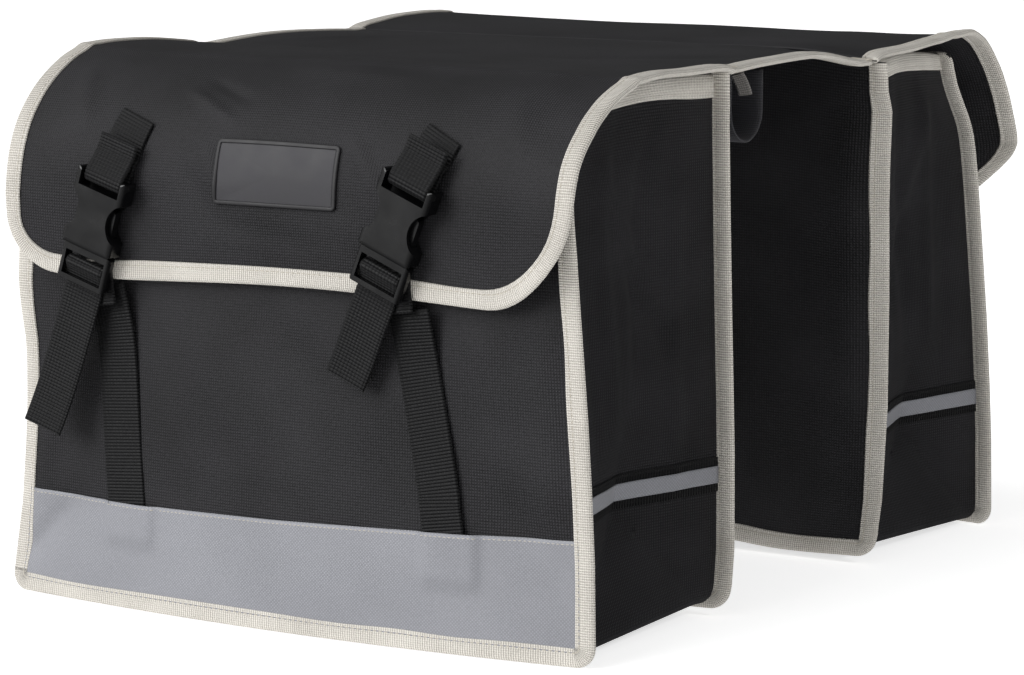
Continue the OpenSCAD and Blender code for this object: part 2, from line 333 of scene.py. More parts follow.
def ribbonShape(path, outward, width, thickness, crown=0.0):
    # a flat section with round edges carried along a path; outward is the way its face looks
    path = np.array(path, float)
    tangent = unit(np.gradient(path, axis=0))
    across = unit(np.cross(tangent, np.broadcast_to(outward, path.shape)))
    face = np.cross(across, tangent)
    k = np.linspace(-1, 1, 13)
    edge = thickness / 2
    top = np.stack([k * (width / 2 - edge), edge + crown * (1 - k**2)], -1)
    bottom = np.stack([k[::-1] * (width / 2 - edge), -edge + crown * (1 - k**2)], -1)
    section = np.concatenate([[[-width / 2, 0.0]], top, [[width / 2, 0.0]], bottom])
    points = path[:, None] + across[:, None] * section[:, :1] + face[:, None] * section[:, 1:]
    quads = np.concatenate([gridQuads(len(path), len(section), wrapColumns=True),
                            tubeEnds(len(path), len(section))])[:, ::-1]
    around = pathLengths(np.concatenate([section, section[:1]]))[:-1]
    return points, quads, np.stack(np.meshgrid(pathLengths(path), around, indexing="ij"), -1)


webbing = {"width": 0.025, "thickness": 0.0015}


def webbingShape(path, across, crown=0.0):
    # strap webbing along a path; its face looks along (path direction) x (the way across it)
    facing = unit(np.cross(np.gradient(path, axis=0), np.broadcast_to(across, path.shape)))
    return ribbonShape(path, facing, webbing["width"], webbing["thickness"], crown), facing


def addNode(tree, kind, inputs=(), **settings):
    # adds a node; settings are its properties, inputs pairs a socket with a value or another node's output
    node = tree.nodes.new("ShaderNode" + kind)
    for key, value in settings.items():
        setattr(node, key, value)
    for socket, value in dict(inputs).items():
        if isinstance(value, bpy.types.NodeSocket):
            tree.links.new(value, node.inputs[socket])
        else:
            node.inputs[socket].default_value = value
    return node


def newMaterial(name, **shader):
    # a material with one Principled shader; the values given are the same all over the surface
    material = bpy.data.materials.new(name)
    material.use_nodes = True
    tree = material.node_tree
    principled = tree.nodes["Principled BSDF"]
    for socket, value in shader.items():
        principled.inputs[socket.replace("_", " ")].default_value = value
    return material, tree, principled


def bands(period):
    # a Wave Texture's scale for stripes this far apart, in metres
    return 2 * math.pi / 20 / period


def twoColours(tree, factor, dark, light, low=0.3, high=0.7):
    ramp = addNode(tree, "ValToRGB", {"Fac": factor})
    ramp.color_ramp.elements[0].position, ramp.color_ramp.elements[0].color = low, linearColour(dark)
    ramp.color_ramp.elements[1].position, ramp.color_ramp.elements[1].color = high, linearColour(light)
    return ramp.outputs["Color"]


def finishLook(tree, principled, colour, gloss, span, roughness, height, bump, depth):
    # colour, a roughness that runs over its two values while gloss runs over its span, and a bump of this depth
    tree.links.new(colour, principled.inputs["Base Color"])
    rough = addNode(tree, "MapRange", {"Value": gloss, "From Min": span[0], "From Max": span[1],
                                       "To Min": roughness[0], "To Max": roughness[1]})
    tree.links.new(rough.outputs["Result"], principled.inputs["Roughness"])
    relief = addNode(tree, "Bump", {"Height": height, "Strength": bump, "Distance": depth})
    tree.links.new(relief.outputs["Normal"], principled.inputs["Normal"])


def mixOf(tree, value, amount, base):
    # value * amount + base
    return addNode(tree, "Math", {0: value, 1: amount, 2: base}, operation="MULTIPLY_ADD").outputs[0]


def wovenCloth(name, dark, light, thread, bump, roughness, sheen, diagonal=0.0, **shader):
    # plain or twill weave: two sets of stripes on the cloth's own UV, thread apart, that swell where they
    # cross, with slubs from a fine noise and broad fading from another
    material, tree, principled = newMaterial(name, Sheen_Weight=sheen, Sheen_Roughness=0.45, **shader)
    uv = addNode(tree, "UVMap", uv_map="weave").outputs["UV"]
    turned = addNode(tree, "Mapping", {"Vector": uv, "Rotation": (0, 0, diagonal)}).outputs["Vector"]
    stripes = {"Vector": turned, "Scale": bands(thread), "Distortion": 0.0}
    warp, weft = [addNode(tree, "TexWave", stripes, bands_direction=way).outputs["Fac"] for way in "XY"]
    crossing = addNode(tree, "Math", {0: warp, 1: weft}, operation="MULTIPLY").outputs[0]
    slub = addNode(tree, "TexNoise", {"Vector": turned, "Scale": 1 / 0.0019, "Detail": 3.0, "Roughness": 0.75})
    broad = addNode(tree, "TexNoise", {"Vector": uv, "Scale": 1 / 0.07, "Detail": 2.0})
    height = mixOf(tree, slub.outputs["Fac"], 0.9, crossing)
    mixed = mixOf(tree, broad.outputs["Fac"], 0.35, mixOf(tree, height, 0.38, 0.0))
    finishLook(tree, principled, twoColours(tree, mixed, dark, light, 0.25, 0.85), height, (0, 1.6), roughness,
               height, bump, 0.0003)
    return material


def ribbedTape(name, dark, light, rib, bump, roughness, sheen=0.25, across=None, **shader):
    # tape or webbing woven with ribs across its length: stripes along U, a finer one along V for the strands
    material, tree, principled = newMaterial(name, Sheen_Weight=sheen, Sheen_Roughness=0.4, **shader)
    uv = addNode(tree, "UVMap", uv_map="weave").outputs["UV"]
    ribs = addNode(tree, "TexWave", {"Vector": uv, "Scale": bands(rib), "Distortion": 0.6, "Detail": 1.0,
                                     "Detail Scale": 6.0}, bands_direction="X")
    strands = addNode(tree, "TexWave", {"Vector": uv, "Scale": bands(across or rib * 0.9)}, bands_direction="Y")
    fluff = addNode(tree, "TexNoise", {"Vector": uv, "Scale": 1 / 0.0016, "Detail": 3.0})
    broad = addNode(tree, "TexNoise", {"Vector": uv, "Scale": 1 / 0.03, "Detail": 3.0})
    weave = mixOf(tree, strands.outputs["Fac"], 0.45, ribs.outputs["Fac"])
    height = mixOf(tree, fluff.outputs["Fac"], 0.5, weave)
    # the colour follows the height, darker in the grooves; on the off-white tape that darkening is dirt and
    # painted shade
    mixed = mixOf(tree, broad.outputs["Fac"], 0.35, mixOf(tree, height, 0.4, 0.0))
    finishLook(tree, principled, twoColours(tree, mixed, dark, light, 0.25, 0.8), height, (0, 1.8), roughness,
               height, bump, 0.0004)
    return material


def mouldedPlastic(name, dark, light, grain, bump, roughness, **shader):
    # moulded plastic: a fine spark-eroded grain and faint flow marks, on object coordinates
    material, tree, principled = newMaterial(name, **shader)
    place = addNode(tree, "TexCoord").outputs["Object"]
    fine = addNode(tree, "TexNoise", {"Vector": place, "Scale": 1 / grain, "Detail": 2.0, "Roughness": 0.6})
    broad = addNode(tree, "TexNoise", {"Vector": place, "Scale": 1 / 0.012, "Detail": 3.0})
    flow = broad.outputs["Fac"]
    finishLook(tree, principled, twoColours(tree, flow, dark, light), flow, (0.3, 0.7), roughness,
               fine.outputs["Fac"], bump, 0.0002)
    return material


# coated polyester, plain woven from 600 denier yarn: near black, dry, with a slight sheen at grazing angles;
# its threads are 0.45 mm apart and drawn at 1.5 mm so that they show
blackPolyester = wovenCloth("blackPolyesterOxford", "#040405", "#343337", thread=0.0015, bump=1.0,
                            roughness=(0.55, 0.75), sheen=0.02, Specular_IOR_Level=0.3)
# grosgrain tape folded over every cut edge: off-white, matt, with ribs across it 1.3 mm apart, darker in the
# grooves between them with dirt and painted shade
offWhiteTape = ribbedTape("offWhiteGrosgrainBinding", "#98938b", "#d4d0c8", rib=0.0013, bump=0.9,
                          roughness=(0.7, 0.9), sheen=0.1)
# the frayed inside of a cut tape end: the same tape, greyer
greyTape = ribbedTape("greyTapeEnd", "#4c4a48", "#6f6c69", rib=0.0013, bump=0.5, roughness=(0.8, 0.9),
                      sheen=0.1)
# polypropylene webbing: coarse ribs and slightly shiny strands
blackWebbing = ribbedTape("blackPolypropyleneWebbing", "#030304", "#0e0e10", rib=0.0017, bump=1.0,
                          roughness=(0.5, 0.75), sheen=0.02, across=0.0021, Specular_IOR_Level=0.3)
# the loops' webbing: the same webbing, smoother, with painted light: a lighter colour so that its face looks
# lit where the near bag shades it
loopWebbingPaintedLight = ribbedTape("blackNylonWebbing", "#1d1d20", "#3a3a3f", rib=0.0014, bump=0.5,
                           roughness=(0.45, 0.6), sheen=0.1)
# grey reflective cloth: fine glass beads on a twill, an even bluish grey with a soft gloss
reflectiveCloth = wovenCloth("greyReflectiveTwill", "#75767b", "#97989e", thread=0.0013, bump=0.35,
                             roughness=(0.45, 0.62), sheen=0.1, diagonal=0.78, Metallic=0.15)
# label moulded in soft PVC: a matt field in a darker raised border
labelRubber = mouldedPlastic("softPvcLabel", "#232226", "#2b2a2f", grain=0.0006, bump=0.15,
                             roughness=(0.55, 0.65))
labelBorder = mouldedPlastic("softPvcLabelBorder", "#121114", "#19181b", grain=0.0006, bump=0.15,
                             roughness=(0.5, 0.62))
# injection moulded acetal: black, satin, with the fine grain of the mould
blackAcetal = mouldedPlastic("blackAcetal", "#040405", "#080809", grain=0.0007, bump=0.08,
                             roughness=(0.18, 0.28), Specular_IOR_Level=0.42)
# hollow polypropylene board, extruded: grey and waxy
greyBoard = mouldedPlastic("hollowPolypropyleneBoard", "#6d6f70", "#7d7f80", grain=0.002, bump=0.2,
                           roughness=(0.45, 0.6))
# twisted polyester thread: off-white, a little brighter than the tape
paleThread = ribbedTape("offWhitePolyesterThread", "#a9a397", "#cbc6bc", rib=0.0008, bump=0.3,
                        roughness=(0.6, 0.8))
print("materials made")

outer = {
    "cloth": 0.0016,        # thickness
    "flat": (0.350, 0.284),    # cut size
    "corners": (0.010, 0.006),    # radius of the lower and of the upper corners
    # height along the panel against: distance out, half-width at the front and at the rear, belly, in mm
    "profile": [(0, 222.2), (60, 222.0), (180, 222.0), (222, 221.6), (234, 220.0), (246, 214.0), (262, 206.0),
                (290, 196.5)],
    "front": [(0, 189.5), (22, 186.0), (49, 181.5), (82, 178.5), (103, 177.3), (138, 176.8), (152, 178),
              (170, 179.5), (200, 178), (240, 175), (290, 173)],
    "rear": [(0, 181), (52, 180.2), (84, 178.7), (123, 176.2), (164, 172.8), (204, 169.4), (231, 166.5),
             (264, 163), (290, 162)],
    "belly": [(0, 14), (40, 14), (80, 13), (140, 8), (180, 4), (230, 0.5), (290, 0)],
    "creases": [            # x0, s0, x1, s1, half-width, height in mm
        (-174, 14, -132, 58, 8, -3.0), (-170, 40, -150, 120, 9, 2.2), (172, 30, 120, 90, 12, -2.2),
        (-60, 160, -20, 90, 16, 1.6), (30, 170, 60, 100, 18, 1.4), (150, 170, 154, 60, 12, 1.8),
        (-150, 168, -120, 110, 9, -1.6), (-20, 168, 26, 128, 8, -1.2), (112, 166, 136, 118, 8, 1.3),
    ],
}
outerHeights = np.linspace(0, 0.29, 291)
outerOut = np.convolve(np.pad(table(outerHeights, outer["profile"]), 8, mode="edge"), np.ones(17) / 17, "valid")
outerUp = np.concatenate([[0], np.cumsum(np.sqrt(np.maximum(1e-6 - np.diff(outerOut) ** 2, 1e-8)))])


def outerSurface(x, s):
    # the profile carried across: out(s) from its table, up(s) so that the cloth keeps its length, plus
    # belly(s) * (1 - share^2), where share is x over the half-width that the side tables give at each s
    x, s = np.broadcast_arrays(x, s)
    share = x / halfWidth
    half = np.where(x < 0, table(s, outer["front"]), table(s, outer["rear"]))
    stand = table(s, outer["belly"]) * (1 - share**2)
    frontSwell = smoothStep(0.6, 1.0, -share) * smoothStep(0.12, 0.165, s) * (1 - smoothStep(0.19, 0.24, s))
    stand = stand + 0.003 * frontSwell
    quiet = smoothStep(0, 0.03, s) * smoothStep(0, 0.02, halfWidth - np.abs(x))
    stand = stand + (0.0007 * ripples(x, s, 0.09, 3) + folds(x, s, outer["creases"])) * quiet
    out = np.interp(s, outerHeights, outerOut)
    up = np.interp(s, outerHeights, outerUp)
    return np.stack([share * half, -(out + stand), up + 0.0004], -1)


inner = {
    "cloth": 0.0016,
    "flat": (0.350, 0.284),
    "rear": [(0, 176), (14, 178.5), (35, 180), (90, 180), (200, 177.5), (290, 175)],
    "bow": [(0, 0), (20, 0.5), (90, 8), (150, 11), (215, 12), (258, 9), (270, 3), (290, 0)],
    "foot": 0.007,          # how far the middle of the foot is drawn up between its corners
    "corner": 0.004,        # and its rear corner
}
topDroop = 0.0055           # how far the rear end of the far bag's hinge hangs below the near one's


def innerSurfaceOf(bow, droop):
    # an upright plane, held by the board behind it: y = -(its distance out) + ripples - bow(s) past the board;
    # its rear edge widens, its foot is drawn up between the corners and its top's rear end may droop
    def surface(x, s):
        x, s = np.broadcast_arrays(x, s)
        beyond = smoothStep(0.152, halfWidth, x)
        stray = 0.0005 * ripples(x, s, 0.12, 8) - bow * table(s, inner["bow"]) * beyond
        half = np.where(x < 0, halfWidth, table(s, inner["rear"]) + droop * smoothStep(0.2, 0.284, s))
        foot = inner["foot"] * (1 - smoothStep(0.04, 0.165, np.abs(x)))
        foot = foot + inner["corner"] * smoothStep(0.1, 0.17, x)
        sink = droop * smoothStep(0.1, halfWidth, x) * s / panelHeight
        up = s + 0.0004 + foot * (1 - smoothStep(0, 0.06, s)) - sink
        up = up + 0.0024 * smoothStep(0.27, panelHeight, s)
        return np.stack([x / halfWidth * half, -(innerLow[1] + 0.002) + stray, up], -1)
    return surface


gusset = {
    "cloth": 0.0014,
    "depth": 0.13,          # cut width: the bag's mean depth
    "corner": 0.008,        # radius where the ends turn into the bottom
    "foot": 0.0028,         # height of the bottom over the floor
    "hollow": 0.008,        # how far the ends pull in between the panels
    "apex": 0.066,          # height of the creased triangle at the foot of each end
    "peak": 0.46,           # and where its peak is between the outer panel (0) and the inner one (1)
    "pinch": 0.020,         # how deep it is pushed in there
    "arch": 0.0035,         # how far the rim rises between the panels
    "folds": [              # v0, height 0, v1, height 1, half-width, height in mm
        (38, 270, 46, 110, 7, 2.6), (78, 265, 70, 120, 8, -2.6), (104, 250, 98, 60, 7, 2.4),
        (20, 200, 30, 90, 6, -1.8), (26, 262, 88, 168, 6, 2.0), (60, 200, 112, 120, 7, -1.8),
    ],
    "strip": 0.009,         # width of the grey strip across each end
    "stripTape": 0.018,     # and of the black tape under it
}
gussetDepth = gusset["depth"]
gussetHalf = gussetHigh[0] - 0.0008
gussetTop = rimHigh[2] + 0.0012
gussetEdge = evenly(tongueEdge(gussetHalf, gusset["foot"], gussetTop, gusset["corner"]), 0.001)
gussetLength = pathLengths(gussetEdge)


def gussetSurfaceOf(innerSurface):
    # one strip: u runs down the front end, along the bottom and up the rear end, v from the outer panel (0) to
    # the inner one (gussetDepth); outer * (1 - share) + inner * share, plus the hollow and folds of its ends
    def surface(v, u):
        v, u = np.broadcast_arrays(v, u)
        x = np.interp(u, gussetLength, gussetEdge[:, 0])
        s = np.interp(u, gussetLength, gussetEdge[:, 1])
        share = np.clip(v / gussetDepth, 0, 1)
        points = outerSurface(x, s) * (1 - share[..., None]) + innerSurface(x, s) * share[..., None]
        end = smoothStep(0.8, 1.0, np.abs(x) / gussetHalf)
        z = points[..., 2]
        roof = np.minimum(share / gusset["peak"], (1 - share) / (1 - gusset["peak"]))
        below = gusset["pinch"] * np.minimum(np.clip(z / gusset["apex"], 0, None), roof)
        swell = np.sin(np.pi * share)
        hollow = gusset["hollow"] * swell * (0.35 + 0.65 * smoothStep(-0.02, 0.1, gussetTop - z))
        high = smoothStep(gusset["apex"] - 0.006, gusset["apex"] + 0.06, z)
        pulled = below * (1 - high) + hollow * high
        soft = (0.0013 * ripples(v * 1.6, u * 0.6, 0.06, 5) + folds(v, z, gusset["folds"])) * swell
        points[..., 0] -= np.sign(x) * end * (pulled - soft * smoothStep(0.03, 0.1, z))
        rise = (1 - end) * 0.002 + end * gusset["arch"] * smoothStep(gussetTop - 0.04, gussetTop, s)
        points[..., 2] += rise * swell
        return points
    return surface


flap = {
    "half": 0.177,
    "corners": (0.029, 0.052),    # radius of the front and the rear lower corner
    "cloth": 0.0016,
    "bend": 0.012,          # how much of it, from the hinge on, bends when the flap turns up
    "profile": [            # out and up from the hem over the bend and the crease to the hinge, in mm
        (232.6, 177.4), (233.0, 200), (233.2, 219), (232.0, 236), (227.5, 251.5), (219, 265), (207, 276),
        (193, 283.8), (180, 287.9), (169, 290.0), (158, 290.7), (140, 290.6), (110, 289.8), (90, 288.9),
        (84, 288.1), (78.6, 286.6),
    ],
    "skyline": [(-180, 2.2), (-141, 1.2), (-98, 0.4), (-40, 0), (20, 0), (60, -0.8), (100, -1.6), (180, -1.6)],
    "creases": [            # x0, q0, x1, q1, half-width, height in mm; q is measured from the hem over the fold
        (-74, 104, -36, 84, 3.2, 1.9), (-66, 114, -30, 97, 3.4, -1.6), (-52, 76, -40, 46, 4.0, 1.5),
        (-62, 60, -46, 36, 4, -1.1), (40, 80, 62, 50, 4.5, 1.6), (30, 38, 60, 22, 5.0, 1.3),
        (-150, 120, -128, 70, 6.0, 1.7), (-44, 34, 20, 22, 5.0, -1.3), (126, 110, 150, 60, 8.0, 1.4),
        (-20, 130, 60, 124, 7.0, 0.9), (-130, 160, 90, 172, 9.0, -1.0), (20, 150, 150, 140, 8.0, 1.0),
    ],
    # how far each side stands out (positive) or hangs (negative), by distance from the hem, in mm; lift is how
    # far its front and rear corners are raised
    "near": {"front": [(0, 2), (40, 4.5), (70, 2), (90, 0.5), (120, 0), (300, 0)],
             "rear": [(0, 6), (20, 6.5), (45, 5.5), (70, 3), (90, -1), (107, -2.5), (125, -2.5), (145, -1),
                      (170, 0), (300, 0)],
             "lift": (0.001, 0.0055)},
    "far": {"front": [(0, 8), (40, 7), (70, 3), (90, 0.5), (110, 0), (300, 0)],
            "rear": [(0, 25), (20, 28), (40, 28), (60, 20), (76, 15.5), (91, 13), (107, 12), (120, 10),
                     (130, 6), (142, 2), (158, -0.5), (190, -2.5), (250, -5), (300, -6)],
            "lift": (0.002, 0.015)},
}
flapLine = roundedPath(np.array(flap["profile"]) / 1000, 0.001)
flapSteps = pathLengths(flapLine)
flapLength = flapSteps[-1]
flapHem = flapLine[0, 1]
flapFacing = leftOf(flapLine) * -1


def flapSurfaceOf(sides):
    # the flap's middle layer: line(q) + facing(q) * (side flare + swell between the buckles + folds), carried
    # across in x; the hem waves a little and the corners are lifted
    def surface(x, q):
        x, q = np.broadcast_arrays(x, q)
        out, up = [np.interp(q, flapSteps, flapLine[:, i]) for i in (0, 1)]
        faceOut, faceUp = [np.interp(q, flapSteps, flapFacing[:, i]) for i in (0, 1)]
        side = smoothStep(0.118, flap["half"], np.abs(x)) ** 1.2
        flare = np.where(x < 0, table(q, sides["front"]), table(q, sides["rear"])) * side
        quiet = smoothStep(0, 0.014, q) * smoothStep(0, 0.02, flapLength - q)
        clear = 1 - np.exp(-((np.abs(x + 0.012) - 0.105) / 0.022) ** 2) * (1 - smoothStep(0.07, 0.09, q))
        middle = 0.0022 * np.exp(-((x + 0.01) / 0.045) ** 2)
        middle = middle * smoothStep(0, 0.03, q) * (1 - smoothStep(0.08, 0.12, q))
        soft = (0.0006 * ripples(x, q, 0.07, 11) + folds(x, q, flap["creases"])) * quiet * clear
        ridge = 0.0009 * np.exp(-((q - 0.143) / 0.004) ** 2)
        skyline = table(x, flap["skyline"]) * smoothStep(0.10, 0.15, q) * smoothStep(0, 0.05, flapLength - q)
        stand = flare + middle + soft * (1 - side) + ridge
        lift = np.where(x < 0, sides["lift"][0], sides["lift"][1]) * side * (1 - smoothStep(0.0, 0.06, q))
        hem = 0.0022 * np.cos(x / 0.05 - 0.3) * (1 - smoothStep(0, 0.06, q)) * (1 - side)
        return np.stack([x, -(out + faceOut * stand), up + faceUp * stand + hem + lift + skyline], -1)
    return surface


saddle = {
    "arch": 0.0035,
    "cloth": 0.0018,
    "flat": (0.350, 0.160),
    "folds": [(22, 78, 125, 29, 5, 1.6), (-150, -60, -60, 40, 8, 1.0), (60, -70, 160, -20, 7, -0.9)],
    "edge": 0.0002,         # how far its tape's outline lies outside it
    "tackInset": 0.0035,    # the rear tape's knots, from the panel's ends
}
saddleHalf = saddleHigh[0]
saddleMiddle = (saddleLow[2] + saddleHigh[2]) / 2


def saddleSurface(x, y):
    # the saddle panel: level(x, y) + arch * (1 - share^2) + folds, level at the bags and arched between them
    x, y = np.broadcast_arrays(x, y)
    share = y / saddleHigh[1]
    soft = 0.0006 * ripples(x, y, 0.08, 17) + folds(x, y, saddle["folds"])
    level = saddleMiddle + 0.0009 * smoothStep(0.85, 1.0, np.abs(share))
    level = level - topDroop * smoothStep(0.1, saddleHalf, x) * smoothStep(0.1, 1.0, share)
    return np.stack([x, y, level + saddle["arch"] * (1 - share**2) + soft * (1 - share**4)], -1)


def buckleOf(which):
    # where a buckle's bar is and how far it leans, from the socket's own joint; points are (across, out, up)
    # from the flap's front under the bar
    joint = joints["left_" + which + "_socket_swing"]
    bar = np.array(joint["pos_m"])
    slant = math.asin(joint["axis"][2])

    def place(points):
        p = np.array(points, float)
        x = bar[0] + p[..., 0] * math.cos(slant) + p[..., 2] * math.sin(slant)
        z = bar[2] - p[..., 0] * math.sin(slant) + p[..., 2] * math.cos(slant)
        return np.stack([x, -(flapHigh[1] + p[..., 1]), z], -1)
    return bar, slant, place


def alongBuckle(place, outUp):
    # a path given as (out, up) pairs in millimetres in a buckle's own frame
    p = np.array(outUp, float) / 1000
    return place(np.stack([np.zeros(len(p)), p[:, 0], p[:, 1]], -1))


def acrossBuckle(slant):
    # the way across a buckle that leans by slant
    return unit(np.array([math.cos(slant), 0, -math.sin(slant)]))


def arc(centre, radius, start, end, count):
    angle = np.linspace(math.radians(start), math.radians(end), count)
    return np.array(centre) + radius * np.stack([np.cos(angle), np.sin(angle)], -1)


buckle = {                  # where webbing bends in it: out and up from the flap and the socket's bar, in mm
    "bar": (6.25, 0), "barBend": 2.85,
    "ladder": (5.6, -48), "ladderBend": 2.6,
    "end": (3.75, -58.6),
}
straps = {
    "proud": 0.0017,        # middle of the webbing over the middle of the cloth
    "sewn": (0.044, 0.100),    # heights between which the base strap lies on the outer panel
    "footHeight": 0.052,    # height at which its place and tilt are measured
    "front": {"foot": -0.0985, "baseTilt": 0.13, "top": -0.1145, "sewnTop": 0.259, "tail": 80, "curl": 9.0},
    "rear": {"foot": 0.0965, "baseTilt": 0.125, "top": 0.0775, "sewnTop": 0.259, "tail": 50, "curl": 3.0},
}
band = {
    "top": [(-180, 57.5), (-90, 56.5), (0, 58.5), (90, 61.5), (180, 64)],    # height along x, in mm
    "start": 0.02,          # above this height its rows spread up to the slanting top
    "thickness": 0.0006,
}
patch = {"width": 0.076, "height": 0.033, "radius": 0.0025, "x": -0.003, "q": 0.0585, "border": 0.0022,
         "base": 0.0009}


def flapAt(z):
    # how far from the hem the flap's front is at this height
    return np.interp(z, flapLine[:110, 1], flapSteps[:110])


def bandSurface(x, s):
    # the reflective band lies on the outer panel and rises over the feet of the two straps under its top edge
    lift = 0.0013
    for which in ("front", "rear"):
        side = np.abs(x - straps[which]["foot"] - 0.002)
        lift = lift + 0.0020 * (1 - smoothStep(0.0130, 0.018, side)) * smoothStep(0.030, 0.040, s)
    return liftedOn(outerSurface, x, s, lift)


def bandTop(x):
    return table(x, band["top"])


def patchShapes(surface):
    # the label patch: rings of a rounded rectangle, from its foot over the raised border down to the field
    corner = np.linspace(0, np.pi / 2, 7)
    w, h = patch["width"] / 2, patch["height"] / 2
    radius = patch["radius"]
    ring = []
    for sx, sy, start in ((1, 1, 0), (-1, 1, 1), (-1, -1, 2), (1, -1, 3)):
        turn = corner + start * np.pi / 2
        around = radius * np.stack([np.cos(turn), np.sin(turn)], -1)
        ring.append([sx * (w - radius), sy * (h - radius)] + around)
    ring = evenly(np.concatenate(ring), 0.0011, closed=True)
    facing = leftOf(ring, closed=True)

    def slab(insets, heights, shares):
        # rings by inset and height, the last ones drawn towards the middle by their share
        insets, heights, shares = [np.array(v)[:, None] for v in (insets, heights, shares)]
        flat = (ring + facing * insets[..., None]) * shares[..., None]
        points = liftedOn(surface, flat[..., 0] + patch["x"], flat[..., 1] + patch["q"],
                          patch["base"] + np.broadcast_to(heights, flat.shape[:2]))
        quads = [gridQuads(len(points), len(ring), wrapColumns=True), tubeEnds(len(points), len(ring))]
        return points, np.concatenate(quads), np.zeros((points.shape[0] * points.shape[1], 2))

    b = patch["border"]
    border = slab([0, 0, 0.0002, 0.0006, b - 0.0004, b, b],
                  [0, 0.0009, 0.0013, 0.0014, 0.0014, 0.0012, 0.0003], np.ones(7))
    inside = slab([b - 0.0001] * 6, [0.0003] + [0.0009] * 5, [1, 1, 0.98, 0.6, 0.2, 0.02])
    return border, inside


def baseStrapShape(size):
    # from under the band's top up the outer panel, then off it to the flap's hem
    tilt = size["baseTilt"]
    s = np.linspace(*straps["sewn"], 24)
    x = size["foot"] - np.tan(tilt) * (s - straps["footHeight"])
    low = liftedOn(outerSurface, x, s, np.full(len(s), straps["proud"]))
    top = np.array([[size["top"] + np.tan(tilt) * 0.036, -flapHigh[1] + 0.0042, flapHem - 0.036],
                    [size["top"], -flapHigh[1] + 0.0012, flapHem - 0.0045]])
    path = roundedPath(np.concatenate([low[::6], top]), 0.0025)
    return webbingShape(path, -unit(np.array([np.cos(tilt), 0, np.sin(tilt)])))[0]


def flapStrapShape(surface, size, bar, slant, place):
    # down the flap from its sewn top, round the socket's bar and back up behind it
    fold = np.concatenate([[[1.0, 12.0], [1.6, 8.0], [2.7, 3.2]],
                           arc(buckle["bar"], buckle["barBend"], 180, 360, 13),
                           [[8.9, 2.6], [7.0, 7.2], [3.9, 14.0], [2.95, 18.0], [2.7, 23.0]]])
    ups = np.linspace((size["sewnTop"] - bar[2]) / math.cos(slant) * 1000, 14.0, 12)
    flat = alongBuckle(place, np.stack([np.zeros(12), ups], -1))
    onFlap = liftedOn(surface, flat[:, 0], flapAt(flat[:, 2]), np.full(12, straps["proud"]))
    path = roundedPath(np.concatenate([onFlap, alongBuckle(place, fold)]), 0.0012)
    (points, quads, uv), facing = webbingShape(path, acrossBuckle(slant))
    # where it is sewn down, every point is set on the curved flap at its own height in the webbing
    height = straps["proud"] + np.sum((points - path[:, None]) * facing[:, None], -1)
    sewn = liftedOn(surface, points[..., 0], flapAt(points[..., 2]), height)
    firstHalf = np.arange(len(path)) < len(path) / 2
    share = smoothStep(bar[2] + 0.011, bar[2] + 0.018, path[:, 2]) * firstHalf
    return points + (sewn - points) * share[:, None, None], quads, uv


def strapLoopShape(size, slant, place):
    # the strap's upper leg round the plug's ladder bar; behind the plug it lines up with the strap below it
    loop = np.concatenate([[[2.4, -52.0]], arc(buckle["ladder"], buckle["ladderBend"], 175, -40, 16),
                           [[6.2, -52.0], [4.9, -55.0], [3.9, -58.0]]])
    upper = webbingShape(roundedPath(alongBuckle(place, loop), 0.0008), -acrossBuckle(slant))[0]
    top = place(np.array([0.0, 0.0020, -0.0455]))
    end = top + 0.0235 * np.array([np.sin(size["baseTilt"]), 0.0, -np.cos(size["baseTilt"])])
    share = np.linspace(0, 1, 12)[:, None]
    lower = ribbonShape(end * (1 - share) + top * share, np.array([0, -1.0, 0]), webbing["width"],
                        webbing["thickness"])
    return joined(upper, lower)


def tailShape(size, slant, place):
    # from the plug's end bar down: out = curl * t^2.2 + a small wave, so it curls outward
    t = np.linspace(0, 1, 40)
    out, up = buckle["end"]
    hang = np.stack([out + size["curl"] * t**2.2 + 0.6 * np.sin(t * 5), up - size["tail"] * t], -1)
    return webbingShape(alongBuckle(place, hang), -acrossBuckle(slant), 0.0004)[0]


def gussetBand(surface, at, width, rows, height, thickness, margin):
    # a strip across the gusset at one length along it
    along = at + np.linspace(-width / 2, width / 2, rows)
    v, u = np.meshgrid(np.linspace(margin, gussetDepth - margin, 60), along, indexing="ij")
    return clothShape(lambda a, b: liftedOn(surface, a, b, height), v, u, thickness)


